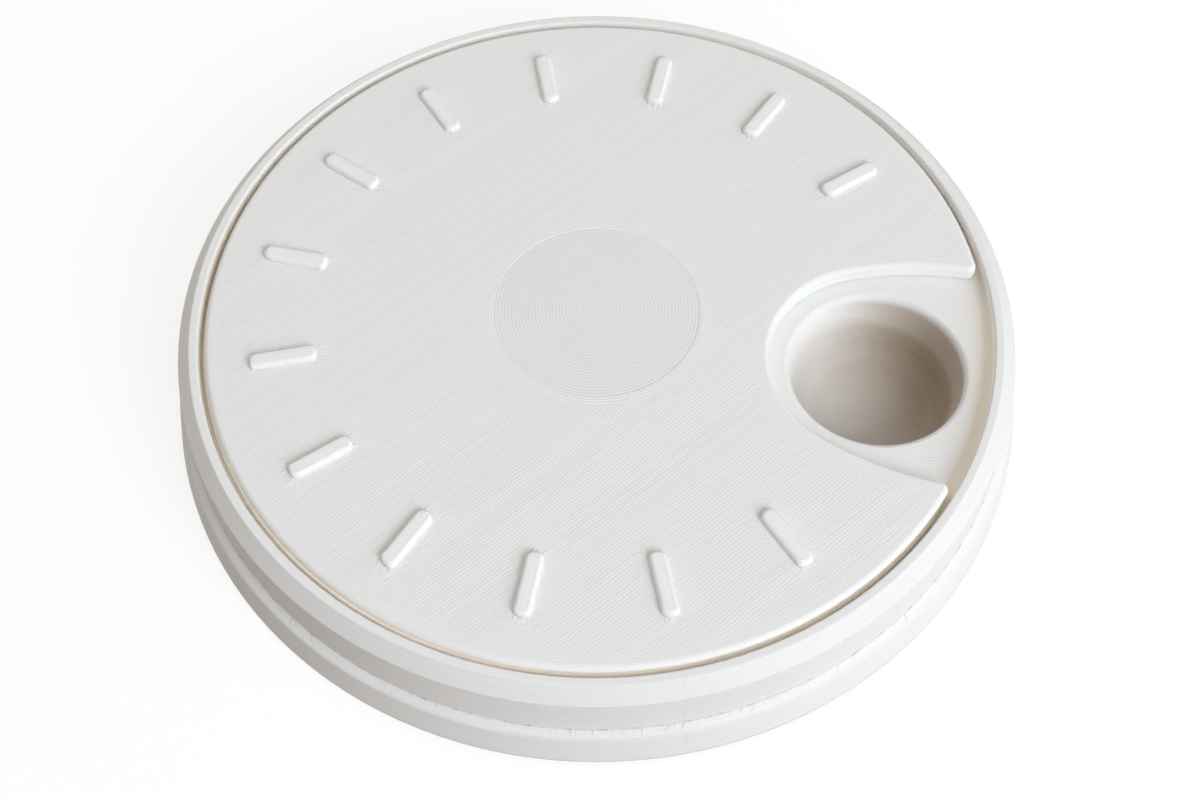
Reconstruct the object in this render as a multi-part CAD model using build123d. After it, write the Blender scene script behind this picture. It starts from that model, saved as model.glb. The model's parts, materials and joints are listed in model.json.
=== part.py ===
from build123d import *
import math
import os

os.makedirs("parts", exist_ok=True)

# A round puzzle feeder for a cat. A flat lid turns over a tray of cups, and the one window in
# the lid bares one cup at a time. All sizes are millimetres. The origin is under the middle of
# the feeder, on the plane that its feet stand on. +Z is up, and the window faces +X.

# Lid
lid_radius = 95.0
lid_thickness = 4.0
lid_edge_round = 1.3
lid_underside_bevel = 0.4
centre_circle_radius = 25.3
centre_circle_depth = 0.1

# Ridges that a paw pushes against
ridge_count = 13
ridge_length = 16.0
ridge_width = 4.2
ridge_height = 1.6
ridge_top_round = 1.4
ridge_end_round = 1.8
ridge_to_lid_edge = 10.9
ridge_free_angle = 44.0

# Window in the lid
window_margin = 4.8
window_turn = 24.2
window_flare_radius = 76.0
window_tip_round = 2.0

# Cups
cup_count = 8
cup_web = 9.9
cup_outer_land = 4.4
cup_depth = 17.2
cup_wall = 1.6
cup_wall_lean = 3.6
cup_floor_round = 6.0
cup_lip_round = 1.2

# Tray
rim_gap = 1.5
rim_flat = 2.2
rim_edge_round = 0.5
rim_shoulder_width = 3.2
rim_shoulder_drop = 3.6
tray_height = 16.0
deck_thickness = 2.4
deck_corner_round = 0.8
skirt_wall = 2.8
lid_running_gap = 0.3
lid_proud = 0.3

# Base pan
foot_proud = 0.5
pan_floor = 2.9
pan_wall = 3.0
pan_ledge = 2.4
pan_step_out = 2.2
pan_step_drop = 1.4
pan_flare = 1.4
pan_foot_bevel = 0.5
pan_step_round = 1.2
lip_width = 2.2
lip_height = 3.0
lip_clearance = 0.3
cup_floor_clearance = 0.8

# Feet
foot_count = 6
foot_first_angle = 7.5
foot_radius = 6.0
foot_recess = 1.0
foot_clearance = 0.15
foot_edge_bevel = 0.4
foot_to_pan_edge = 15.5

# Screws and threaded inserts, M3
screw_radius = 1.5
screw_head_radius = 2.75
screw_head_height = 2.0
screw_head_round = 0.6
driver_radius = 1.15
driver_depth = 1.2
screw_hole_radius = 1.7
screw_tip_room = 1.0
insert_radius = 2.1
insert_length = 5.7
insert_collar_radius = 2.3
insert_collar_height = 0.8
thread_clearance = 0.05
seat_clearance = 0.03

# Base screws and the bosses that they pull on
base_screw_count = 4
base_screw_length = 10.0
base_screw_web = 2.4
head_recess_clearance = 0.35
boss_radius = 4.5
boss_to_skirt = 6.6

# Ball bearing, 22 x 8 x 7
bearing_radius = 11.0
bearing_bore_radius = 4.0
bearing_width = 7.0
bearing_edge_bevel = 0.3
ball_radius = 1.984
ball_count = 7
ball_clearance = 0.03
race_land_gap = 0.6
shield_step_depth = 0.6
shield_step_width = 0.65
shield_thickness = 0.3
shield_gap = 0.3
cage_wall = 0.8
cage_clearance = 0.1
cage_ring_height = 0.55
cage_finger_height = 0.9

# Pivot, between the lid and the bearing
bearing_drop = 1.0
bearing_ledge = 2.0
bearing_ledge_width = 1.2
hub_wall = 3.5
pivot_shoulder_radius = 5.6
pivot_fit = 0.04
pivot_end_gap = 0.3
washer_radius = 4.5
washer_thickness = 0.8
washer_clearance = 0.1
pivot_screw_length = 8.0

# Heights, from the feet up
pan_underside_z = foot_proud
pan_floor_top_z = pan_underside_z + pan_floor
cup_floor_z = pan_floor_top_z + cup_floor_clearance + cup_wall
deck_z = cup_floor_z + cup_depth
deck_underside_z = deck_z - deck_thickness
lid_bottom_z = deck_z + lid_running_gap
lid_top_z = lid_bottom_z + lid_thickness
rim_top_z = lid_top_z - lid_proud
seam_z = rim_top_z - tray_height
bearing_top_z = deck_z - bearing_drop
bearing_middle_z = bearing_top_z - bearing_width / 2
bearing_bottom_z = bearing_top_z - bearing_width
spigot_end_z = bearing_bottom_z + pivot_end_gap
washer_bottom_z = bearing_bottom_z - washer_thickness
pad_top_z = pan_underside_z + screw_head_height + head_recess_clearance + base_screw_web

# Radii, from the lid out
rim_inner_radius = lid_radius + rim_gap
rim_outer_radius = rim_inner_radius + rim_flat
tray_radius = rim_outer_radius + rim_shoulder_width
skirt_inner_radius = tray_radius - skirt_wall
pan_top_radius = tray_radius + pan_step_out
pan_radius = pan_top_radius + pan_flare
foot_circle_radius = pan_radius - foot_to_pan_edge
boss_circle_radius = skirt_inner_radius - boss_to_skirt - boss_radius
ridge_circle_radius = lid_radius - ridge_to_lid_edge - ridge_length / 2

# Cup mouths as large as the lid, the land outside them and the webs between them leave room for
cup_half_pitch = math.sin(math.pi / cup_count)
cup_room = (lid_radius - cup_outer_land) * cup_half_pitch - cup_web / 2
cup_mouth_radius = cup_room / (1 + cup_half_pitch)
cup_circle_radius = lid_radius - cup_outer_land - cup_mouth_radius
cup_floor_radius = cup_mouth_radius - cup_wall_lean


def turned(corners):
    """Revolve an outline about Z. Each corner is (radius, height) or (radius, height, rounding)."""
    outline = make_face(Polyline([corner[:2] for corner in corners], close=True))
    roundings = sorted({corner[2] for corner in corners if len(corner) > 2})
    for rounding in roundings:
        rounded = [Vector(*corner[:2]) for corner in corners if corner[2:] == (rounding,)]
        near = [v for v in outline.vertices() if any((Vector(*v) - c).length < 1e-6 for c in rounded)]
        outline = fillet(near, rounding)
    return revolve(Plane.XZ * outline, axis=Axis.Z)


def tube(outer, inner, low, high):
    """A plain ring between two heights."""
    return turned([(inner, low), (outer, low), (outer, high), (inner, high)])


def rod(radius, low, high):
    """A plain round bar or hole between two heights."""
    return turned([(0, low), (radius, low), (radius, high), (0, high)])


def around(circle_radius, count, first_angle=0.0):
    """Places evenly round a circle."""
    return PolarLocations(circle_radius, count, start_angle=first_angle)


def circles_at(solid, radius, height):
    """The round edges of a solid that have this radius and lie at this height."""
    return [
        edge
        for edge in solid.edges().filter_by(GeomType.CIRCLE)
        if abs(edge.radius - radius) < 1e-4 and abs(edge.center().Z - height) < 1e-4
    ]


# Screw, threaded insert and washer
def screw(length):
    """A pan-head screw along Z with its head's underside at the origin and its tip up."""
    body = turned([
        (0, -screw_head_height),
        (screw_head_radius, -screw_head_height, screw_head_round),
        (screw_head_radius, 0),
        (screw_radius, 0),
        (screw_radius, length - screw_radius / 3),
        (screw_radius * 2 / 3, length),
        (0, length),
    ])
    driver = extrude(RegularPolygon(driver_radius, 6), driver_depth)
    return body - Pos(0, 0, -screw_head_height) * driver


def threaded_insert():
    """A brass insert with its collar's face at the origin and its body above it."""
    bore = screw_radius + thread_clearance
    return turned([
        (bore, 0),
        (insert_collar_radius, 0),
        (insert_collar_radius, insert_collar_height),
        (insert_radius, insert_collar_height),
        (insert_radius, insert_length),
        (bore, insert_length),
    ])


def insert_pocket(screw_length):
    """The hole that takes an insert from below, and the screw's tip beyond it."""
    collar = rod(insert_collar_radius + seat_clearance, 0, insert_collar_height)
    seat = rod(insert_radius + seat_clearance, 0, insert_length)
    tip = rod(screw_hole_radius, 0, max(screw_length, insert_length) + screw_tip_room)
    return collar + seat + tip


def pivot_washer():
    """The washer between the pivot screw's head and the bearing's inner ring."""
    return tube(washer_radius, screw_radius + washer_clearance, washer_bottom_z, bearing_bottom_z)


# Lid
def window_outline():
    """An arc round the cup that opens into two long flares, which run out past the lid's edge."""
    arc_radius = cup_mouth_radius + window_margin
    join_angle = 90 + window_turn
    towards_join = Vector(math.cos(math.radians(join_angle)), math.sin(math.radians(join_angle)))
    arc_centre = Vector(cup_circle_radius, 0)
    flare_centre = arc_centre + towards_join * (arc_radius - window_flare_radius)
    past_lid = lid_radius + window_margin
    end_angle = math.degrees(math.acos((past_lid - flare_centre.X) / window_flare_radius))
    round_cup = CenterArc(arc_centre, arc_radius, join_angle, 180 - 2 * window_turn)
    flare = CenterArc(flare_centre, window_flare_radius, end_angle, join_angle - end_angle)
    other_flare = mirror(flare, Plane.XZ)
    across = Line(flare @ 0, other_flare @ 0)
    return make_face([round_cup, flare, across, other_flare])


def ridge():
    """One ridge along X with a rounded top and rounded ends, its foot at height 0."""
    foot = RectangleRounded(ridge_length, ridge_width, ridge_end_round)
    bar = extrude(foot, ridge_height)
    return fillet(bar.faces().sort_by(Axis.Z)[-1].edges(), ridge_top_round)


def lid_disc():
    plate = Circle(lid_radius) - window_outline()
    tips = [v for v in plate.vertices() if abs(Vector(v.X, v.Y).length - lid_radius) < 1e-4]
    plate = fillet(tips, window_tip_round)
    lid = Pos(0, 0, lid_bottom_z) * extrude(plate, lid_thickness)
    lid = fillet(lid.faces().sort_by(Axis.Z)[-1].edges(), lid_edge_round)
    lid = chamfer(lid.faces().sort_by(Axis.Z)[0].edges(), lid_underside_bevel)
    lid -= rod(centre_circle_radius, lid_top_z - centre_circle_depth, lid_top_z + 1)
    ridge_span = 360 - 2 * ridge_free_angle
    for place in range(ridge_count):
        angle = ridge_free_angle + ridge_span * place / (ridge_count - 1)
        lid += Pos(0, 0, lid_top_z) * Rot(0, 0, angle) * Pos(ridge_circle_radius, 0, 0) * ridge()
    lid += rod(pivot_shoulder_radius, bearing_top_z, lid_bottom_z + 1)
    lid += rod(bearing_bore_radius - pivot_fit, spigot_end_z, bearing_top_z + 1)
    screw_in_lid = pivot_screw_length - washer_thickness - pivot_end_gap
    lid -= Pos(0, 0, spigot_end_z) * insert_pocket(screw_in_lid)
    return lid


# Tray
def cup_hollow():
    """The space inside a cup, which leans in to a rounded floor, and the air above its mouth."""
    hollow = turned([
        (0, cup_floor_z),
        (cup_floor_radius, cup_floor_z, cup_floor_round),
        (cup_mouth_radius, deck_z),
        (0, deck_z),
    ])
    return hollow + rod(cup_mouth_radius, deck_z, deck_z + 1)


def cup_shell(top_z):
    """The outside of a cup under the deck, one wall larger than its hollow."""
    return turned([
        (0, cup_floor_z - cup_wall),
        (cup_floor_radius + cup_wall, cup_floor_z - cup_wall),
        (cup_mouth_radius + cup_wall, top_z),
        (0, top_z),
    ])


def cup_tray():
    tray = turned([
        (0, deck_underside_z),
        (skirt_inner_radius, deck_underside_z),
        (skirt_inner_radius, seam_z),
        (tray_radius, seam_z),
        (tray_radius, rim_top_z - rim_shoulder_drop, rim_edge_round),
        (rim_outer_radius, rim_top_z, rim_edge_round),
        (rim_inner_radius, rim_top_z, rim_edge_round),
        (rim_inner_radius, deck_z, deck_corner_round),
        (0, deck_z),
    ])
    into_deck_z = deck_underside_z + deck_thickness / 2
    hub_bottom_z = bearing_bottom_z - bearing_ledge
    shell = cup_shell(into_deck_z)
    hollow = cup_hollow()
    boss = rod(boss_radius, pad_top_z, into_deck_z)
    insert_hole = Pos(0, 0, pad_top_z) * insert_pocket(base_screw_length - base_screw_web)
    cup_places = around(cup_circle_radius, cup_count)
    boss_places = around(boss_circle_radius, base_screw_count, 180 / cup_count)
    for place in cup_places:
        tray += place * shell
    for place in boss_places:
        tray += place * boss
    tray += rod(bearing_radius + hub_wall, hub_bottom_z, into_deck_z)
    for place in cup_places:
        tray -= place * hollow
    for place in boss_places:
        tray -= place * insert_hole
    tray -= rod(bearing_radius + seat_clearance, bearing_bottom_z, deck_z + 1)
    tray -= rod(bearing_radius - bearing_ledge_width, hub_bottom_z - 1, bearing_bottom_z + 1)
    return fillet(circles_at(tray, cup_mouth_radius, deck_z), cup_lip_round)


# Base pan
def base_pan():
    lip_outer = skirt_inner_radius - lip_clearance
    lip_inner = lip_outer - lip_width
    wall_inner = pan_top_radius - pan_wall
    pan = turned([
        (0, pan_underside_z),
        (pan_radius - pan_foot_bevel, pan_underside_z),
        (pan_radius, pan_underside_z + pan_foot_bevel),
        (pan_top_radius, seam_z - pan_step_drop, pan_step_round),
        (tray_radius, seam_z),
        (lip_outer, seam_z),
        (lip_outer, seam_z + lip_height),
        (lip_inner, seam_z + lip_height),
        (lip_inner, seam_z - pan_ledge),
        (wall_inner, seam_z - pan_ledge - (wall_inner - lip_inner)),
        (wall_inner, pan_floor_top_z),
        (0, pan_floor_top_z),
    ])
    head_recess = rod(
        screw_head_radius + head_recess_clearance,
        pan_underside_z - 1,
        pan_underside_z + screw_head_height + head_recess_clearance,
    )
    for place in around(boss_circle_radius, base_screw_count, 180 / cup_count):
        pan += place * rod(boss_radius, pan_underside_z + pan_floor / 2, pad_top_z)
        pan -= place * head_recess
        pan -= place * rod(screw_hole_radius, pan_underside_z, pad_top_z + 1)
    foot_pocket = rod(foot_radius + foot_clearance, pan_underside_z - 1, pan_underside_z + foot_recess)
    for place in around(foot_circle_radius, foot_count, foot_first_angle):
        pan -= place * foot_pocket
    return pan


def rubber_foot():
    return turned([
        (0, 0),
        (foot_radius - foot_edge_bevel, 0),
        (foot_radius, foot_edge_bevel),
        (foot_radius, foot_proud + foot_recess),
        (0, foot_proud + foot_recess),
    ])


# Ball bearing
pitch_radius = (bearing_radius + bearing_bore_radius) / 2
inner_land = pitch_radius - ball_radius + race_land_gap
outer_land = pitch_radius + ball_radius - race_land_gap
shield_seat = bearing_width / 2 - shield_step_depth


def race_groove():
    """The ring-shaped space that the balls run in."""
    section = Pos(pitch_radius, 0) * Circle(ball_radius + ball_clearance)
    return revolve(Plane.XZ * section, axis=Axis.Z)


def bearing_inner_ring():
    half = bearing_width / 2
    ring = turned([
        (bearing_bore_radius, bearing_edge_bevel - half),
        (bearing_bore_radius + bearing_edge_bevel, -half),
        (inner_land, -half),
        (inner_land, half),
        (bearing_bore_radius + bearing_edge_bevel, half),
        (bearing_bore_radius, half - bearing_edge_bevel),
    ])
    return ring - race_groove()


def bearing_outer_ring():
    half = bearing_width / 2
    step = outer_land + shield_step_width
    ring = turned([
        (outer_land, -shield_seat),
        (step, -shield_seat),
        (step, -half),
        (bearing_radius - bearing_edge_bevel, -half),
        (bearing_radius, bearing_edge_bevel - half),
        (bearing_radius, half - bearing_edge_bevel),
        (bearing_radius - bearing_edge_bevel, half),
        (step, half),
        (step, shield_seat),
        (outer_land, shield_seat),
    ])
    return ring - race_groove()


def bearing_balls():
    return [place * Sphere(ball_radius) for place in around(pitch_radius, ball_count)]


def bearing_cage():
    """A crown cage: a thin ring under the balls with fingers between them."""
    low = -ball_radius - cage_clearance - cage_ring_height
    cage = tube(pitch_radius + cage_wall, pitch_radius - cage_wall, low, cage_finger_height)
    for place in around(pitch_radius, ball_count):
        cage -= place * Sphere(ball_radius + cage_clearance)
    return cage


def bearing_shield(side):
    """A thin washer seated on the outer ring's step, above the balls (side 1) or below (side -1)."""
    seat = side * shield_seat
    face = side * (shield_seat + shield_thickness)
    outer = outer_land + shield_step_width - seat_clearance
    return tube(outer, inner_land + shield_gap, min(seat, face), max(seat, face))


def save(name, *solids):
    """Write one node, from one solid or from a group of alike ones."""
    export_step(Compound(label=name, children=[s.solid() for s in solids]), f"parts/{name}.step")


at_bearing = Pos(0, 0, bearing_middle_z)
screw_places = around(boss_circle_radius, base_screw_count, 180 / cup_count)
head_seat_z = pan_underside_z + screw_head_height + head_recess_clearance
insert = threaded_insert()
base_screw = screw(base_screw_length)

save("lid_disc", lid_disc())
save("lid_insert", Pos(0, 0, spigot_end_z) * insert)
save("pivot_screw", Pos(0, 0, washer_bottom_z) * screw(pivot_screw_length))
save("pivot_washer", pivot_washer())
save("bearing_inner_ring", at_bearing * bearing_inner_ring())
save("bearing_outer_ring", at_bearing * bearing_outer_ring())
save("bearing_cage", at_bearing * bearing_cage())
save("bearing_balls", *[at_bearing * ball for ball in bearing_balls()])
save("bearing_shield_upper", at_bearing * bearing_shield(1))
save("bearing_shield_lower", at_bearing * bearing_shield(-1))
save("cup_tray", cup_tray())
save("tray_inserts", *[place * Pos(0, 0, pad_top_z) * insert for place in screw_places])
save("base_pan", base_pan())
save("base_screws", *[place * Pos(0, 0, head_seat_z) * base_screw for place in screw_places])
for number, place in enumerate(around(foot_circle_radius, foot_count, foot_first_angle), 1):
    save(f"rubber_foot_{number}", place * rubber_foot())

print("cup mouth radius", round(cup_mouth_radius, 2), "on a circle of", round(cup_circle_radius, 2))
print("rim height", round(rim_top_z, 2), "overall radius", round(pan_radius, 2))
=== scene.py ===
import json
import math
import random

import bmesh
import bpy
from mathutils import Matrix, Vector


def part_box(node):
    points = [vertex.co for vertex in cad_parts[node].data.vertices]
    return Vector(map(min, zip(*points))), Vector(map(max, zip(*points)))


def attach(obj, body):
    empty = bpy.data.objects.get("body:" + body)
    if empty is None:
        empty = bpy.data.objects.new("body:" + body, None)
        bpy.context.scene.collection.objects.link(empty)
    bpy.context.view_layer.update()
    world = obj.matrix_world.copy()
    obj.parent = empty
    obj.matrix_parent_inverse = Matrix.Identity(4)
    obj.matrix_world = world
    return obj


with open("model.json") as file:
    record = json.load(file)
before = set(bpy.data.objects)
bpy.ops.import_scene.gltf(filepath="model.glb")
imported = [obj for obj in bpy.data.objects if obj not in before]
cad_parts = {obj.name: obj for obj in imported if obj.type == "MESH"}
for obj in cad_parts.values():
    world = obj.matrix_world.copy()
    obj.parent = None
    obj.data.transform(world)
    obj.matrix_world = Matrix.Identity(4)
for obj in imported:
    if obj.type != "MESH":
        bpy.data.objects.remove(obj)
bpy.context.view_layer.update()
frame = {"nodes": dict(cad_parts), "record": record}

# The frame is in metres. Sizes below are in millimetres, and mm turns them into metres, apart
# from the lamps' and the floor's, which are in metres.
mm = 0.001
lid_thickness = 4.0
lid_running_gap = 0.3
window_turn_deg = 24.2
window_margin = 4.8
window_flare_radius = 76.0
cup_mouth_radius = 21.495
cup_circle_radius = 69.105
cup_pitch_deg = 45.0
ridge_count = 13
ridge_first_deg = 44.0
ridge_pitch_deg = (360 - 2 * ridge_first_deg) / (ridge_count - 1)
ridge_length = 16.0
ridge_width = 4.2
ridge_height = 1.6
ridge_end_round = 1.8
ridge_tight_round = 0.95
ridge_circle_radius = 76.1
centre_circle_radius = 25.3
rim_gap = 1.5
pan_lip_height = 3.0
pan_step_out = 2.2
pan_step_drop = 1.4

# Sizes that the frame's boxes give
lid_radius = -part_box("lid_disc")[0].x / mm
lid_top_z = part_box("lid_disc")[1].z / mm - ridge_height
tray_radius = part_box("cup_tray")[1].x / mm
rim_top_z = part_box("cup_tray")[1].z / mm
deck_z = lid_top_z - lid_thickness - lid_running_gap
seam_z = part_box("base_pan")[1].z / mm - pan_lip_height
step_fall = pan_step_drop / pan_step_out
pan_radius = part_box("base_pan")[1].x / mm
rim_inner_radius = lid_radius + rim_gap

# The lid's window: an arc round one cup, which runs into an outward flare on each side
window_arc_radius = cup_mouth_radius + window_margin
window_join = math.radians(90 + window_turn_deg)
towards_join = (math.cos(window_join), math.sin(window_join))
flare_back = window_flare_radius - window_arc_radius
flare_x = cup_circle_radius - towards_join[0] * flare_back
flare_y = -towards_join[1] * flare_back

# How the parts were printed
fill_line_pitch = 0.83
edge_line_pitch = 0.8
ridge_line_pitch = 0.5
rim_line_pitch = 0.6
edge_lines_width = 3.0
cup_floor_ring_radius = 12.0
layer_height = 0.2
lid_fill_deg = 52.2
tray_fill_deg = 7.0
layer_start_deg = -67.0

# The photograph's camera, in the photograph's own directions, where its right is 0 degrees
image_width_px = 1200.0
focal_px = 1799.7
camera_elevation_deg = 57.285
camera_roll_deg = -0.309
camera_distance = 4.4606 * lid_radius
camera_aim = (0.00775 * lid_radius, -0.27426 * lid_radius)
window_from_right_deg = -12.20


class Signal:
    """A value in a node graph. Sums and products of signals add the nodes that work them out."""

    def __init__(self, graph, socket):
        self.graph = graph
        self.socket = socket

    def __add__(self, other):
        return self.graph.math("ADD", self, other)

    def __sub__(self, other):
        return self.graph.math("SUBTRACT", self, other)

    def __rsub__(self, other):
        return self.graph.math("SUBTRACT", other, self)

    def __mul__(self, other):
        return self.graph.math("MULTIPLY", self, other)

    def __truediv__(self, other):
        return self.graph.math("DIVIDE", self, other)

    __radd__ = __add__
    __rmul__ = __mul__

    def least(self, other):
        return self.graph.math("MINIMUM", self, other)

    def most(self, other):
        return self.graph.math("MAXIMUM", self, other)

    def size(self):
        return self.graph.math("ABSOLUTE", self)

    def root(self):
        return self.graph.math("SQRT", self)

    def whole(self):
        return self.graph.math("FLOOR", self)

    def nearest(self):
        """The nearest whole number."""
        return (self + 0.5).whole()

    def step(self, low, high):
        """0 below low, 1 above high, and smooth between them. With high under low it falls."""
        rising = low < high
        ends = (low, high) if rising else (high, low)
        node = self.graph.add("ShaderNodeMapRange", interpolation_type="SMOOTHSTEP")
        self.graph.put(self, node.inputs["Value"])
        node.inputs["From Min"].default_value = ends[0]
        node.inputs["From Max"].default_value = ends[1]
        node.inputs["To Min"].default_value = 0.0 if rising else 1.0
        node.inputs["To Max"].default_value = 1.0 if rising else 0.0
        return Signal(self.graph, node.outputs["Result"])

    def bead(self, pitch):
        """The rounded cross-section of printed lines laid side by side, from 0 in a groove to 1."""
        across = self.graph.math("PINGPONG", self / pitch, 0.5) * 2
        hollow = 1 - across
        return 1 - hollow * hollow


class Graph:
    """A material with a Principled shader, and short calls for the nodes that colour it."""

    def __init__(self, name, **shader_values):
        self.material = bpy.data.materials.new(name)
        self.material.use_nodes = True
        self.tree = self.material.node_tree
        self.shader = self.tree.nodes["Principled BSDF"]
        for socket, value in shader_values.items():
            self.shader.inputs[socket.replace("_", " ")].default_value = value

    def add(self, kind, **settings):
        node = self.tree.nodes.new(kind)
        for name, value in settings.items():
            setattr(node, name, value)
        return node

    def put(self, value, socket):
        if isinstance(value, Signal):
            self.tree.links.new(value.socket, socket)
        else:
            socket.default_value = value

    def math(self, operation, *values):
        node = self.add("ShaderNodeMath", operation=operation)
        for value, socket in zip(values, node.inputs):
            self.put(value, socket)
        return Signal(self, node.outputs[0])

    def blend(self, share, first, second):
        """A number between first and second."""
        return first + (second - first) * share

    def place(self):
        """x, y and z in millimetres, fixed to the part however it turns."""
        coordinates = self.add("ShaderNodeTexCoord")
        parts = self.add("ShaderNodeSeparateXYZ")
        self.tree.links.new(coordinates.outputs["Object"], parts.inputs[0])
        return [Signal(self, output) * (1 / mm) for output in parts.outputs]

    def up(self):
        """How far the surface faces up, from -1 to 1."""
        coordinates = self.add("ShaderNodeTexCoord")
        parts = self.add("ShaderNodeSeparateXYZ")
        self.tree.links.new(coordinates.outputs["Normal"], parts.inputs[0])
        return Signal(self, parts.outputs["Z"])

    def vector(self, x, y, z):
        node = self.add("ShaderNodeCombineXYZ")
        for value, socket in zip((x, y, z), node.inputs):
            self.put(value, socket)
        return Signal(self, node.outputs[0])

    def noise(self, at, scale, detail=2.0, roughness=0.5):
        """Smooth noise about 0, mostly within -1 to 1."""
        node = self.add("ShaderNodeTexNoise")
        self.put(at, node.inputs["Vector"])
        node.inputs["Scale"].default_value = scale
        node.inputs["Detail"].default_value = detail
        node.inputs["Roughness"].default_value = roughness
        return Signal(self, node.outputs["Fac"]) * 4 - 2

    def chance(self, number):
        """A random value from 0 to 1 that belongs to a whole number."""
        node = self.add("ShaderNodeTexWhiteNoise", noise_dimensions="1D")
        self.put(number, node.inputs["W"])
        return Signal(self, node.outputs["Value"])

    def colours(self, share, first, second):
        node = self.add("ShaderNodeMix", data_type="RGBA", clamp_factor=True)
        self.put(share, node.inputs["Factor"])
        for value, name in ((first, "A"), (second, "B")):
            sockets = [s for s in node.inputs if s.name == name and s.type == "RGBA"]
            self.put(value, sockets[0])
        result = [s for s in node.outputs if s.type == "RGBA"]
        return Signal(self, result[0])

    def shade(self, colour, brightness):
        """The colour, lighter or darker by a factor near 1."""
        node = self.add("ShaderNodeVectorMath", operation="SCALE")
        self.put(colour if isinstance(colour, Signal) else colour[:3], node.inputs[0])
        self.put(brightness, node.inputs["Scale"])
        return Signal(self, node.outputs[0])

    def relief(self, height):
        """Bump from a height in millimetres."""
        node = self.add("ShaderNodeBump")
        node.inputs["Strength"].default_value = 1.0
        node.inputs["Distance"].default_value = mm
        self.put(height, node.inputs["Height"])
        self.tree.links.new(node.outputs["Normal"], self.shader.inputs["Normal"])

    def finish(self, colour, roughness):
        self.put(colour, self.shader.inputs["Base Color"])
        self.put(roughness, self.shader.inputs["Roughness"])
        return self.material


# Printed plastic. The cream below is painted light and shade: a warm glow painted into the shaded
# gap round the lid. The brown is painted shade in the cups, most on their side towards
# shade_towards.
white = (0.86, 0.86, 0.855, 1.0)
painted_gap_glow = (1.0, 0.935, 0.835, 1.0)
painted_shade_brown = (0.40, 0.315, 0.235, 1.0)
shade_towards = (0.89, 0.45)

# The mean of Signal.bead, and in millimetres how far printed lines waver and how deep marks are
bead_mean = 0.67
line_waver = 0.22
line_whorl = 0.9
lid_line_depth = 0.03
tray_line_depth = 0.022
pan_line_depth = 0.03
drift_depth = 0.004
scuff_depth = 0.02
scratch_depth = 0.03
hair_depth = 0.09
layer_depth = 0.008
layer_uneven_depth = 0.016
layer_broad_depth = 0.03
layer_start_depth = 0.03
grit_depth = 0.0022

# Tones, as shares of the plastic's brightness
lid_line_tone = 0.085
circle_line_tone = 0.05
circle_tone = 0.05
tray_line_tone = 0.035
pan_line_tone = 0.05
scratch_tone = 0.02
# Painted light: the ridges' tops and upper sides are made lighter than the lid.
ridge_painted_light = 0.09
hair_tone = 0.06
layer_uneven_tone = 0.018
layer_broad_tone = 0.011
layer_start_tone = 0.02
cloud_tone = 0.006


def fill_lines(g, x, y, direction_deg, ruffle):
    """Straight printed lines that waver, more so where ruffle is near 1.
    Returns their relief, each line's own chance and a drift along the lines."""
    turn = math.radians(direction_deg)
    across = y * math.cos(turn) - x * math.sin(turn)
    along = x * math.cos(turn) + y * math.sin(turn)
    waver = g.noise(g.vector(x, y, 0.0), 0.09, 3.0, 0.6) * line_waver
    whorl = g.noise(g.vector(x, y, 9.0), 0.33, 2.0) * ruffle * line_whorl
    place = across + waver + whorl
    line = (place / fill_line_pitch).nearest()
    drift = g.noise(g.vector(along * 0.05, line * 0.7, 0.0), 1.0, 2.0)
    return place.bead(fill_line_pitch), g.chance(line), drift


def wall_layers(g, x, y, z):
    """Relief of the printed layers on a wall, the streaks that they leave round the part, and the
    angle round it."""
    angle = g.math("ARCTAN2", y, x)
    layer = (z / layer_height).whole()
    uneven = g.noise(g.vector(angle * 1.6, layer * 0.35, 0.0), 1.0, 3.0, 0.65)
    broad = g.noise(g.vector(angle * 0.9, z * 0.45, 3.0), 1.0, 2.0)
    around = angle - math.radians(layer_start_deg)
    starts = (around * tray_radius + uneven * 0.25).size().step(0.55, 0.2)
    relief = z.bead(layer_height) * layer_depth + uneven * layer_uneven_depth
    relief = relief + broad * layer_broad_depth + starts * layer_start_depth
    streaks = uneven * layer_uneven_tone + broad * layer_broad_tone
    streaks = streaks - starts * (layer_start_tone + uneven * 0.03)
    return relief, streaks, angle


def layer_stair_shade(g):
    """Painted shade: how much a slope is darkened, standing in for the small shadows between its
    layers' steps.
    """
    darkening = 0.06
    up = g.up()
    return up.step(0.3, 0.5) * up.step(0.95, 0.85) * darkening


def seam_shade(g, angle, off_seam):
    """Painted shadow: a broken dark line along the seam between the tray and the pan."""
    dashes_per_radian = 30
    reach = 0.32
    between_dashes = 0.10
    in_dashes = 0.4
    dashes = g.noise(g.vector(angle * dashes_per_radian, 0.0, 0.0), 1.0, 3.0, 0.6).step(-0.2, 0.9)
    return off_seam.size().step(reach, 0.08) * (between_dashes + dashes * in_dashes)


def printed(name, pattern):
    """White printed plastic. The pattern gives relief in millimetres, a tone near 0, which holds
    some painted shade and light, and the painted shade and glow in gaps and hollows, each as its
    share and colour."""
    g = Graph(
        name,
        Subsurface_Weight=0.12,
        Subsurface_Scale=0.0022,
        Subsurface_Radius=(1.0, 0.86, 0.7),
        IOR=1.46,
        Specular_IOR_Level=0.08,
    )
    x, y, z = g.place()
    relief, tone, painted_shading = pattern(g, x, y, z)
    cloud = g.noise(g.vector(x, y, z), 0.035, 3.0) * cloud_tone
    grit = g.noise(g.vector(x, y, z), 3.2, 2.0)
    colour = white
    for share, tint in painted_shading:
        colour = g.colours(share, colour, tint)
    colour = g.shade(colour, 1 + tone + cloud)
    g.relief(relief + grit * grit_depth)
    plain_roughness = 0.5
    darkest = -0.1
    roughness = plain_roughness + grit * 0.035 + tone.most(darkest) * 1.2
    return g.finish(colour, roughness)


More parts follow.
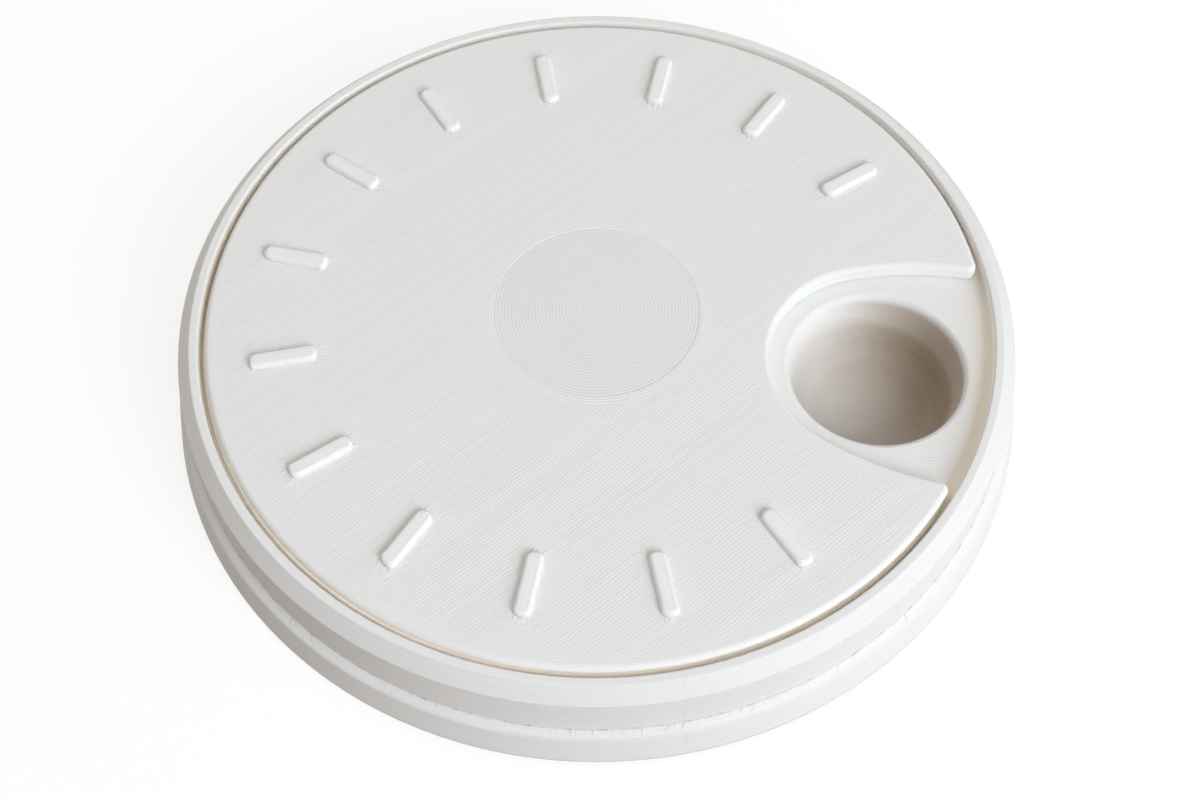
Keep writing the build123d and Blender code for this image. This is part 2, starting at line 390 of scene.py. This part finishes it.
def near_side(y):
    """1 on the tray's side towards the photograph's camera, and little on the far side."""
    far_share = 0.15
    fades_from = 5
    fades_to = 55
    return far_share + y.step(fades_to, fades_from) * (1 - far_share)


def hypotenuse(x, y):
    return (x * x + y * y).root()


def lid_edge_distance(g, x, y, radius):
    """How far a point is in from the lid's outline: its round edge, or the window's arc and
    flares."""
    side_y = y.size()
    from_cup_x = x - cup_circle_radius
    to_arc = hypotenuse(from_cup_x, side_y) - window_arc_radius
    to_flare = hypotenuse(x - flare_x, side_y - flare_y) - window_flare_radius
    beyond_join = side_y * towards_join[0] - from_cup_x * towards_join[1]
    to_window = g.blend(beyond_join.step(-0.01, 0.01), to_flare, to_arc)
    return (lid_radius - radius).least(to_window)


def lid_pattern(g, x, y, z):
    radius = hypotenuse(x, y)
    top = g.up().step(0.75, 0.95)
    edge = lid_edge_distance(g, x, y, radius)

    # Each ridge's own lengthwise and crosswise place, by folding the circle of ridges onto one
    angle = g.math("ARCTAN2", y, 0 - x) * (180 / math.pi)
    turned = (180 - angle - ridge_first_deg) / ridge_pitch_deg
    fold = (turned - turned.nearest()) * math.radians(ridge_pitch_deg)
    lengthwise = radius * g.math("COSINE", fold) - ridge_circle_radius
    crosswise = radius * g.math("SINE", fold)
    in_ridge = (ridge_length / 2 - lengthwise.size()).least(ridge_width / 2 - crosswise.size())
    on_ridge = z.step(lid_top_z + 0.3, lid_top_z + 0.6)
    no_ridges_past_deg = 147
    has_ridges = (angle.size() - no_ridges_past_deg).step(0.5, -0.5)
    near_ridge = in_ridge.step(-4.5, -0.4) * has_ridges
    ruffled = near_ridge.most(edge.step(14, 4) * 0.4)

    # Straight lines, and rings in the centre circle that the straight lines show through in part
    fill, own, drift = fill_lines(g, x, y, lid_fill_deg, ruffled)
    rings = (radius + drift * 0.1).bead(fill_line_pitch)
    turn = math.radians(lid_fill_deg)
    beside = (y * math.cos(turn) - x * math.sin(turn)).size()
    ahead = (x * math.cos(turn) + y * math.sin(turn)).size()
    patch = g.noise(g.vector(x, y, 2.0), 0.16, 2.0) * 5
    flattened = (beside - ahead * 1.1 + patch).step(-2, 5) * radius.step(25, 21) * 0.85
    rings = g.blend(flattened, rings, fill)
    in_circle = radius.step(centre_circle_radius + 0.5, centre_circle_radius - 0.5)
    by_circle = radius.step(centre_circle_radius + 3.0, centre_circle_radius + 1.4)
    by_edge = edge.step(edge_lines_width + 0.4, edge_lines_width)

    lines = g.blend(by_circle, fill * (0.7 + own * 0.6), rings * 1.15)
    lines = g.blend(by_edge, lines, 0.3 + edge.bead(edge_line_pitch) * 0.6)
    lines = g.blend(on_ridge, lines, (crosswise + drift * 0.1).bead(ridge_line_pitch) * 1.2)

    # Hairs past the ridges' ends, scuffs beside the ridges and a few long scratches
    past_end = lengthwise.size() - ridge_length / 2
    hair_place = g.vector(crosswise * 1.7, lengthwise * 0.22, drift)
    hairs = g.noise(hair_place, 1.0, 2.0).step(-0.3, 0.8)
    hairs = hairs * past_end.step(-0.3, 0.1) * past_end.step(2.6, 0.8)
    hairs = hairs * crosswise.size().step(2.7, 2.0)
    scuffs = g.noise(g.vector(x, y, 0.0), 0.9, 3.0, 0.7) * near_ridge
    scratch_place = g.vector(x * 0.5 + y * 0.2, y * 1.4 - x * 1.1, 4.0)
    scratch = g.noise(scratch_place, 0.6, 2.0).step(1.0, 1.3)

    top_relief = lines * lid_line_depth + drift * drift_depth
    top_relief = top_relief + scuffs * scuff_depth + scratch * scratch_depth + hairs * hair_depth
    layers, streaks, _ = wall_layers(g, x, y, z)
    line_tone = lid_line_tone + in_circle * circle_line_tone
    top_tone = (lines - bead_mean) * line_tone + drift * 0.008 - in_circle * circle_tone
    # Of these, the ridges' share is painted light.
    top_tone = top_tone + scratch * scratch_tone + on_ridge * ridge_painted_light + hairs * hair_tone
    # Painted light and shade: a warm glow painted into the shaded gap round the lid, on the lid's
    # edge below its top.
    below_top = z.step(lid_top_z - 0.6, lid_top_z - 1.6)
    lid_gap_glow = radius.step(lid_radius - 1.0, lid_radius - 0.2) * below_top
    return g.blend(top, layers, top_relief), g.blend(top, streaks, top_tone), [(lid_gap_glow, painted_gap_glow)]


def tray_pattern(g, x, y, z):
    radius = hypotenuse(x, y)
    top = g.up().step(0.8, 0.96)
    layers, streaks, angle = wall_layers(g, x, y, z)

    # The nearest cup, by folding the ring of cups onto one
    pitch = math.radians(cup_pitch_deg)
    turned = angle / pitch
    fold = (turned - turned.nearest()) * pitch
    from_cup_x = radius * g.math("COSINE", fold) - cup_circle_radius
    from_cup_y = radius * g.math("SINE", fold)
    cup_radius = hypotenuse(from_cup_x, from_cup_y)
    in_cup = cup_radius.step(cup_mouth_radius + 0.4, cup_mouth_radius - 0.4)

    on_rim = z.step(deck_z + 1.5, deck_z + 3)
    deck_edge = (cup_radius - cup_mouth_radius).least(rim_inner_radius - radius)
    fill, own, drift = fill_lines(g, x, y, tray_fill_deg, deck_edge.step(6.0, 3.0) * 0.5)
    by_deck_edge = deck_edge.step(edge_lines_width + 0.6, edge_lines_width + 0.2)
    deck = g.blend(by_deck_edge, fill * (0.8 + own * 0.4), deck_edge.bead(edge_line_pitch))
    in_floor_rings = cup_radius.step(cup_floor_ring_radius + 0.5, cup_floor_ring_radius)
    floor = g.blend(in_floor_rings, cup_radius.bead(edge_line_pitch), fill)
    stroke_place = g.vector(angle * rim_inner_radius * 1.3, radius * 0.35, 5.0)
    brushed = g.noise(stroke_place, 1.0, 3.0, 0.6)
    strokes = (radius + drift * 0.15).bead(rim_line_pitch) * 0.7 + brushed.step(0.1, 1.3) * 0.5
    lines = g.blend(on_rim, g.blend(in_cup, deck, floor), strokes)

    # Painted shade in the cup: how brown it is, more with depth, and most on its shaded side
    least_cup_shade = 0.4
    cup_angle = turned.nearest() * pitch
    shaded_x = x - g.math("COSINE", cup_angle) * cup_circle_radius
    shaded_y = y - g.math("SINE", cup_angle) * cup_circle_radius
    shaded = (shaded_x * shade_towards[0] + shaded_y * shade_towards[1]).step(-12, 20)
    side_share = least_cup_shade + shaded * (1 - least_cup_shade)
    cup_painted_shade = in_cup * z.step(deck_z - 0.5, deck_z - 12) * side_share
    cup_painted_shade = cup_painted_shade.most(in_cup * z.step(deck_z - 0.6, deck_z - 3) * shaded * 0.8)
    # Painted light and shade: a warm glow painted into the shaded gap inside the rim, on the deck
    # and the rim's inner wall, most on the near side.
    below_rim = z.step(rim_top_z - 0.4, rim_top_z - 2)
    tray_gap_glow = radius.step(rim_inner_radius - 7, rim_inner_radius - 0.5) * below_rim
    inside_rim = radius.step(rim_inner_radius + 1, rim_inner_radius + 0.5)
    tray_gap_glow = tray_gap_glow * inside_rim * near_side(y)

    # Painted shadow along the seam.
    seam = seam_shade(g, angle, z - seam_z) * radius.step(tray_radius - 1, tray_radius - 0.5)
    relief = g.blend(top, layers, lines * tray_line_depth + drift * drift_depth)
    top_tone = (lines - bead_mean) * tray_line_tone + drift * 0.006
    tone = g.blend(top, streaks - seam - layer_stair_shade(g), top_tone)
    return relief, tone, [(tray_gap_glow, painted_gap_glow), (cup_painted_shade, painted_shade_brown)]


def pan_pattern(g, x, y, z):
    layers, streaks, angle = wall_layers(g, x, y, z)
    radius = hypotenuse(x, y)
    under = g.up().step(-0.8, -0.96)
    fill, own, drift = fill_lines(g, x, y, lid_fill_deg + 90, 0.0)
    under_relief = fill * (0.7 + own * 0.6) * pan_line_depth + drift * drift_depth
    relief = g.blend(under, layers, under_relief)
    # Painted shadow along the seam.
    seam = seam_shade(g, angle, radius - tray_radius)
    tone = g.blend(under, streaks - seam - layer_stair_shade(g), (fill - bead_mean) * pan_line_tone)
    # Painted shadow: the pan darker along its bottom edge, where it stands over the floor.
    foot_painted_shadow = 0.4
    foot_shadow_share = z.step(1.6, 0.8) * radius.step(pan_radius - 0.8, pan_radius - 0.3)
    return relief, tone - foot_shadow_share * foot_painted_shadow, []


def string_pattern(g, x, y, z):
    relief = g.noise(g.vector(x, y, z), 1.5, 2.0) * 0.01
    tone = g.noise(g.vector(x, y, z), 0.4, 1.0) * 0.01
    return relief, tone, []


# Metal, nylon and rubber
def turned_metal(name, colour, dull, lathe):
    """Metal with fine rings from the lathe and a little tarnish. lathe is the rings' depth."""
    g = Graph(name, Metallic=1.0)
    x, y, z = g.place()
    rings = g.noise(g.vector(hypotenuse(x, y), z, 0.0), 9.0, 2.0)
    tarnish = g.noise(g.vector(x, y, z), 0.6, 4.0, 0.6)
    g.relief(rings * lathe)
    tarnished = 0.8
    dark = tuple(channel * tarnished for channel in colour[:3]) + (1.0,)
    tint = g.colours(tarnish.step(0.2, 1.4) * 0.5, colour, dark)
    return g.finish(tint, 0.05 + dull + tarnish * 0.05)


def nylon():
    g = Graph(
        "nylon",
        Subsurface_Weight=0.2,
        Subsurface_Scale=0.001,
        Subsurface_Radius=(1.0, 0.8, 0.5),
    )
    x, y, z = g.place()
    mottle = g.noise(g.vector(x, y, z), 1.1, 3.0)
    g.relief(mottle * 0.004)
    tint = g.colours(mottle.step(-1.0, 1.0), (0.72, 0.66, 0.5, 1.0), (0.66, 0.6, 0.44, 1.0))
    return g.finish(tint, 0.5 + mottle * 0.04)


def rubber():
    g = Graph("rubber", Specular_IOR_Level=0.3)
    x, y, z = g.place()
    grain = g.noise(g.vector(x, y, z), 4.0, 3.0, 0.7)
    dust = g.noise(g.vector(x, y, z), 0.5, 4.0, 0.6).step(0.3, 1.6)
    g.relief(grain * 0.012)
    tint = g.colours(dust * 0.5, (0.035, 0.035, 0.036, 1.0), (0.16, 0.155, 0.145, 1.0))
    return g.finish(tint, 0.78 + grain * 0.05)


finishes = {
    "lid_plastic": printed("lid_plastic_print", lid_pattern),
    "tray_plastic": printed("tray_plastic_print", tray_pattern),
    "pan_plastic": printed("pan_plastic_print", pan_pattern),
    "brass": turned_metal("turned_brass", (0.78, 0.58, 0.27, 1.0), 0.22, 0.004),
    "screw_steel": turned_metal("plated_steel", (0.62, 0.63, 0.65, 1.0), 0.28, 0.003),
    "bearing_steel": turned_metal("ground_steel", (0.66, 0.66, 0.67, 1.0), 0.14, 0.0015),
    "cage_plastic": nylon(),
    "rubber": rubber(),
}
string_finish = printed("string_print", string_pattern)

for subpart in frame["record"]["subparts"]:
    for material_slot in frame["nodes"][subpart["node"]].material_slots:
        material_slot.material = finishes[subpart["material_slot"]]


# Small printing faults, as meshes
def photo_to_part(angle_deg):
    """An angle as the photograph shows it, 0 to the right, turned to the part's own axes."""
    return math.radians(angle_deg - window_from_right_deg)


def add_piece(name, mesh, body, material):
    bmesh.ops.recalc_face_normals(mesh, faces=mesh.faces)
    data = bpy.data.meshes.new(name)
    mesh.to_mesh(data)
    mesh.free()
    data.materials.append(material)
    for polygon in data.polygons:
        polygon.use_smooth = True
    piece = bpy.data.objects.new(name, data)
    bpy.context.scene.collection.objects.link(piece)
    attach(piece, body)


def add_strand(mesh, points, radius):
    """A thin closed strand along points, tapered to both ends."""
    sides = 6
    thinnest = 0.35
    rings = []
    last = len(points) - 1
    for number, point in enumerate(points):
        along = (points[min(number + 1, last)] - points[max(number - 1, 0)]).normalized()
        side = along.cross(Vector((0, 0, 1))).normalized()
        up = side.cross(along)
        fullness = math.sin(math.pi * (number + 0.5) / (last + 1))
        taper = radius * (thinnest + (1 - thinnest) * fullness)
        ring = []
        for corner in range(sides):
            turn = 2 * math.pi * corner / sides
            way = side * math.cos(turn) + up * math.sin(turn)
            ring.append(mesh.verts.new(point + way * taper))
        rings.append(ring)
    for ring, following in zip(rings, rings[1:]):
        for corner in range(sides):
            after = (corner + 1) % sides
            mesh.faces.new((ring[corner], ring[after], following[after], following[corner]))
    mesh.faces.new(list(reversed(rings[0])))
    mesh.faces.new(rings[-1])


def at(radius, angle, z):
    return Vector((radius * math.cos(angle), radius * math.sin(angle), z)) * mm


def seam_strings():
    """Ticks of plastic along the seam, lying on the pan's step or standing a little. They are
    only on the side that the photograph shows."""
    count = 130
    steps = 6
    rng = random.Random(11)
    mesh = bmesh.new()
    for _ in range(count):
        angle = photo_to_part(rng.triangular(-172, -8, -75))
        length = rng.choice((0.3, 0.4, 0.6, 0.8, 1.2))
        lean = rng.uniform(-0.9, 0.9) * length / tray_radius
        lift = rng.uniform(0.02, 0.2)
        points = []
        for number in range(steps + 1):
            share = number / steps
            out = 0.1 + length * share
            drop = out * step_fall + 0.02
            height = seam_z - drop + lift * math.sin(math.pi * share)
            points.append(at(tray_radius + out, angle + lean * share, height))
        add_strand(mesh, points, rng.uniform(0.06, 0.11) * mm)
    add_piece("seam_strings", mesh, "base", string_finish)


def ridge_outline():
    """Points round a ridge, lengthwise and crosswise from its middle, each with its outward way."""
    corner_steps = 6
    side_steps = 24
    run = ridge_length / 2 - ridge_end_round
    outline = []
    for corner in range(4):
        middle_x = run * (1, -1, -1, 1)[corner]
        middle_y = (ridge_width / 2 - ridge_end_round) * (1, 1, -1, -1)[corner]
        for number in range(corner_steps + 1):
            turn = math.radians(90 * corner + 90 / corner_steps * number)
            way = (math.cos(turn), math.sin(turn))
            x = middle_x + way[0] * ridge_end_round
            y = middle_y + way[1] * ridge_end_round
            outline.append((x, y, way))
        if corner in (0, 2):
            side = 1 if corner == 0 else -1
            for number in range(1, side_steps):
                x = side * run * (1 - number / (side_steps / 2))
                outline.append((x, side * ridge_width / 2, (0.0, float(side))))
    return outline


def ridge_section():
    """The shell's cross-section, as how far in from the ridge's side and how high above the lid."""
    round_steps = 6
    below_ridge_top = 0.013
    top = ridge_height - below_ridge_top
    section = [(1.32, ridge_height - 0.03), (1.1, top), (ridge_tight_round, top)]
    for number in range(1, round_steps + 1):
        turn = math.radians(90 / round_steps * number)
        inset = ridge_tight_round * (1 - math.sin(turn))
        drop = ridge_tight_round * (1 - math.cos(turn))
        section.append((inset, top - drop))
    return section + [(-0.01, 0.4), (-0.02, 0.1), (-0.06, -0.05)]


def ridge_place(number):
    """A ridge's angle, its outward way, and which of its ends is nearer the photograph's camera:
    1 for the outer one, -1 for the inner one."""
    angle = math.radians(ridge_first_deg + ridge_pitch_deg * number)
    outward = Vector((math.cos(angle), math.sin(angle), 0))
    seen_angle = angle + math.radians(window_from_right_deg)
    return angle, outward, -1 if math.sin(seen_angle) > 0 else 1


def ridge_bulges(rng, nearer):
    """Bulges at a ridge's nearer end and one at its other end: lengthwise and crosswise place,
    size and width."""
    bulges = []
    for _ in range(4):
        lengthwise = nearer * (ridge_length / 2 - rng.uniform(0.0, 1.6))
        crosswise = rng.uniform(-2.1, 2.1)
        size = rng.uniform(0.1, 0.3)
        bulges.append((lengthwise, crosswise, size, rng.uniform(0.5, 1.0)))
    bulges.append((-nearer * ridge_length / 2, rng.uniform(-2.0, 2.0), 0.12, 0.8))
    return bulges


def ridge_shells():
    """The outer line of print round each ridge. It squares the ridge's shoulder and wavers,
    and it bulges at the end where the print head starts and stops."""
    rng = random.Random(23)
    mesh = bmesh.new()
    outline = ridge_outline()
    section = ridge_section()
    swells_within = 1.1
    swell_fade = 0.8
    for ridge in range(ridge_count):
        _, outward, nearer = ridge_place(ridge)
        sideways = Vector((-outward.y, outward.x, 0))
        waves = []
        for _ in range(5):
            rate = rng.uniform(0.3, 1.1)
            waves.append((rate, rng.uniform(0, 6.3), rng.uniform(0.005, 0.02)))
        bulges = ridge_bulges(rng, nearer)
        rings = []
        for number, (lengthwise, crosswise, way) in enumerate(outline):
            swell = sum(size * math.sin(rate * number + start) for rate, start, size in waves)
            for x, y, size, width in bulges:
                apart = (lengthwise - x) ** 2 + (crosswise - y) ** 2
                swell += size * math.exp(-apart / (width * width))
            ring = []
            for inset, height in section:
                out = swell * max(0.0, min(1.0, (swells_within - inset) / swell_fade)) - inset
                place = outward * (ridge_circle_radius + lengthwise + way[0] * out)
                place += sideways * (crosswise + way[1] * out)
                place.z = lid_top_z + height
                ring.append(mesh.verts.new(place * mm))
            rings.append(ring)
        for ring, following in zip(rings, rings[1:] + rings[:1]):
            for level in range(len(section)):
                after = (level + 1) % len(section)
                mesh.faces.new((ring[level], ring[after], following[after], following[level]))
    add_piece("ridge_shells", mesh, "lid", finishes["lid_plastic"])


def lid_corner_angle():
    """The angle, from the window's axis, of the corner where its flare meets the lid's edge."""
    reach = math.hypot(flare_x, flare_y)
    cosine = (lid_radius**2 + reach**2 - window_flare_radius**2) / (2 * lid_radius * reach)
    return math.atan2(flare_y, flare_x) + math.acos(cosine)


def first_layers():
    """The squeezed first layers round the lid's lower edge. They stand out into the gap."""
    corner_clearance = 3.5
    steps = 360
    taper_steps = 6
    thinnest = 0.1
    section = (
        (-0.3, 2.1), (0.08, 1.95), (0.42, 1.6), (0.62, 1.1), (0.55, 0.5), (0.2, 0.12), (-0.3, 0.1),
    )
    start = lid_corner_angle() + corner_clearance / lid_radius
    rng = random.Random(3)
    waves = []
    for _ in range(6):
        rate = rng.randint(3, 40)
        waves.append((rate, rng.uniform(0, 6.3), rng.uniform(0.01, 0.04)))
    low = lid_top_z - lid_thickness
    mesh = bmesh.new()
    rings = []
    for number in range(steps + 1):
        angle = start + (2 * math.pi - 2 * start) * number / steps
        swell = 1 + sum(size * math.sin(rate * angle + turn) for rate, turn, size in waves)
        from_end = min(number, steps - number)
        swell *= min(1.0, from_end / taper_steps + thinnest)
        ring = []
        for out, height in section:
            reach = lid_radius + out * (swell if out > 0 else 1)
            ring.append(mesh.verts.new(at(reach, angle, low + height)))
        rings.append(ring)
    for ring, following in zip(rings, rings[1:]):
        for level in range(len(ring)):
            after = (level + 1) % len(ring)
            mesh.faces.new((ring[level], following[level], following[after], ring[after]))
    mesh.faces.new(rings[0])
    mesh.faces.new(list(reversed(rings[-1])))
    add_piece("first_layers", mesh, "lid", finishes["lid_plastic"])


def add_lump(mesh, centre, along, sizes, rng):
    """A smooth uneven lump of plastic, its three half sizes along, across and up."""
    across = Vector((-along.y, along.x, 0))
    made = bmesh.ops.create_icosphere(mesh, subdivisions=3, radius=1.0)
    lobes = []
    for _ in range(4):
        way = Vector((rng.uniform(-1, 1), rng.uniform(-1, 1), rng.uniform(0, 1)))
        lobes.append((way, rng.uniform(-0.2, 0.2)))
    for vertex in made["verts"]:
        swell = 1 + sum(size * max(0.0, vertex.co.dot(lobe)) for lobe, size in lobes)
        place = along * vertex.co.x * sizes[0] + across * vertex.co.y * sizes[1]
        place.z = vertex.co.z * sizes[2]
        vertex.co = centre + place * mm * swell


def ridge_ends():
    """The lumps and wisps that the print head leaves where it starts and ends each ridge."""
    steps = 5
    rng = random.Random(5)
    mesh = bmesh.new()
    for ridge in range(ridge_count):
        angle, outward, nearer = ridge_place(ridge)
        for end, lumps, wisps in ((nearer, 3, 4), (-nearer, 0, 2)):
            tip = ridge_circle_radius + end * ridge_length / 2
            for _ in range(lumps):
                aside = rng.uniform(-1.0, 1.0) / tip
                reach = tip - end * rng.uniform(0.45, 0.9)
                centre = at(reach, angle + aside, lid_top_z + rng.uniform(0.2, 1.0))
                width = rng.uniform(0.35, 0.6)
                sizes = (width, width * rng.uniform(0.8, 1.3), width * 0.6)
                add_lump(mesh, centre, outward, sizes, rng)
            for wisp in range(wisps):
                share_across = (wisp + rng.uniform(0.2, 0.8)) / wisps * 2 - 1
                aside = share_across * ridge_width * 0.47 / tip
                swing = (share_across * 0.35 + rng.uniform(-0.3, 0.3)) / tip
                reach = rng.uniform(0.8, 2.0)
                points = []
                for step in range(steps + 1):
                    share = step / steps
                    height = lid_top_z + 0.04 + 0.35 * (1 - share) ** 3
                    out = tip - end * 0.2 + end * reach * share
                    points.append(at(out, angle + aside + swing * share, height))
                add_strand(mesh, points, rng.uniform(0.05, 0.08) * mm)
    add_piece("ridge_ends", mesh, "lid", string_finish)


seam_strings()
first_layers()
ridge_shells()
ridge_ends()


# Camera, as the photograph was taken
def add_camera():
    from_photo = Matrix.Rotation(-math.radians(window_from_right_deg), 3, "Z")
    elevation = math.radians(camera_elevation_deg)
    back = from_photo @ Vector((0, -math.cos(elevation), math.sin(elevation)))
    right = from_photo @ Vector((1, 0, 0))
    upward = back.cross(right)
    roll = math.radians(camera_roll_deg)
    rolled_right = right * math.cos(roll) + upward * math.sin(roll)
    rolled_up = upward * math.cos(roll) - right * math.sin(roll)
    aim = from_photo @ Vector((camera_aim[0], camera_aim[1], 0)) + Vector((0, 0, lid_top_z))
    turn = Matrix((rolled_right, rolled_up, back)).transposed().to_4x4()
    lens = bpy.data.cameras.new("camera")
    lens.sensor_width = 36.0
    lens.lens = focal_px * lens.sensor_width / image_width_px
    lens.clip_start = 0.01
    camera = bpy.data.objects.new("camera", lens)
    camera.matrix_world = Matrix.Translation((aim + back * camera_distance) * mm) @ turn
    bpy.context.scene.collection.objects.link(camera)
    bpy.context.scene.camera = camera


def add_lamp(name, seen_angle_deg, elevation_deg, distance, width, power, colour):
    """A soft round lamp that faces the feeder. Its angle is as the photograph shows it."""
    angle = photo_to_part(seen_angle_deg)
    elevation = math.radians(elevation_deg)
    level = math.cos(elevation)
    away = Vector((math.cos(angle) * level, math.sin(angle) * level, math.sin(elevation)))
    light = bpy.data.lights.new(name, "AREA")
    light.shape = "DISK"
    light.size = width
    light.energy = power
    light.color = colour
    lamp = bpy.data.objects.new(name, light)
    lamp.location = away * distance
    lamp.rotation_euler = away.to_track_quat("Z", "Y").to_euler()
    bpy.context.scene.collection.objects.link(lamp)


def seen_directly(tree):
    """1 where the camera, a gloss or a clear surface sees this, 0 where it only lights others."""
    path = tree.nodes.new("ShaderNodeLightPath")
    total = path.outputs["Is Camera Ray"]
    for name in ("Is Glossy Ray", "Is Transmission Ray"):
        either = tree.nodes.new("ShaderNodeMath")
        either.operation = "MAXIMUM"
        tree.links.new(total, either.inputs[0])
        tree.links.new(path.outputs[name], either.inputs[1])
        total = either.outputs[0]
    return total


def add_world():
    """A pale warm sky, stronger overhead. Seen directly it is plain white."""
    level_strength = 0.02
    overhead_strength = 0.60
    world = bpy.data.worlds.new("studio")
    bpy.context.scene.world = world
    world.use_nodes = True
    tree = world.node_tree
    ambient = tree.nodes["Background"]
    ambient.inputs["Color"].default_value = (1.0, 0.95, 0.90, 1.0)
    direction = tree.nodes.new("ShaderNodeTexCoord")
    parts = tree.nodes.new("ShaderNodeSeparateXYZ")
    overhead = tree.nodes.new("ShaderNodeMapRange")
    overhead.inputs["To Min"].default_value = level_strength
    overhead.inputs["To Max"].default_value = overhead_strength
    tree.links.new(direction.outputs["Generated"], parts.inputs[0])
    tree.links.new(parts.outputs["Z"], overhead.inputs["Value"])
    tree.links.new(overhead.outputs[0], ambient.inputs["Strength"])
    backdrop = tree.nodes.new("ShaderNodeBackground")
    backdrop.inputs["Color"].default_value = (1.0, 1.0, 1.0, 1.0)
    mix = tree.nodes.new("ShaderNodeMixShader")
    tree.links.new(seen_directly(tree), mix.inputs["Fac"])
    tree.links.new(ambient.outputs[0], mix.inputs[1])
    tree.links.new(backdrop.outputs[0], mix.inputs[2])
    tree.links.new(mix.outputs[0], tree.nodes["World Output"].inputs["Surface"])


def add_floor():
    """A floor that looks white and keeps the feeder's shadow. The light that it throws back onto
    the feeder is dimmer and warmer."""
    half = 3.0
    glow_strength = 0.805
    corners = [(-half, -half, 0), (half, -half, 0), (half, half, 0), (-half, half, 0)]
    data = bpy.data.meshes.new("floor")
    data.from_pydata(corners, [], [(0, 1, 2, 3)])
    floor = bpy.data.objects.new("floor", data)
    bpy.context.scene.collection.objects.link(floor)
    material = bpy.data.materials.new("white_floor")
    material.use_nodes = True
    tree = material.node_tree
    tree.nodes.remove(tree.nodes["Principled BSDF"])
    lit = tree.nodes.new("ShaderNodeBsdfDiffuse")
    lit.inputs["Color"].default_value = (0.37, 0.295, 0.235, 1.0)
    seen = tree.nodes.new("ShaderNodeBsdfDiffuse")
    seen.inputs["Color"].default_value = (0.22, 0.22, 0.22, 1.0)
    glow = tree.nodes.new("ShaderNodeEmission")
    glow.inputs["Strength"].default_value = glow_strength
    both = tree.nodes.new("ShaderNodeAddShader")
    mix = tree.nodes.new("ShaderNodeMixShader")
    tree.links.new(seen.outputs[0], both.inputs[0])
    tree.links.new(glow.outputs[0], both.inputs[1])
    tree.links.new(seen_directly(tree), mix.inputs["Fac"])
    tree.links.new(lit.outputs[0], mix.inputs[1])
    tree.links.new(both.outputs[0], mix.inputs[2])
    tree.links.new(mix.outputs[0], tree.nodes["Material Output"].inputs["Surface"])
    data.materials.append(material)


lamp_distance = 2.4
add_camera()
add_lamp("key", -51, 32, lamp_distance, 1.7, 49.5, (0.895, 0.945, 0.995))
add_lamp("side", 16, 10, lamp_distance, 1.3, 11.0, (0.95, 0.98, 1.0))
add_lamp("back", 140, 20, lamp_distance, 1.7, 12.0, (1.0, 0.955, 0.90))
add_world()
add_floor()
bpy.context.scene.view_settings.view_transform = "Standard"
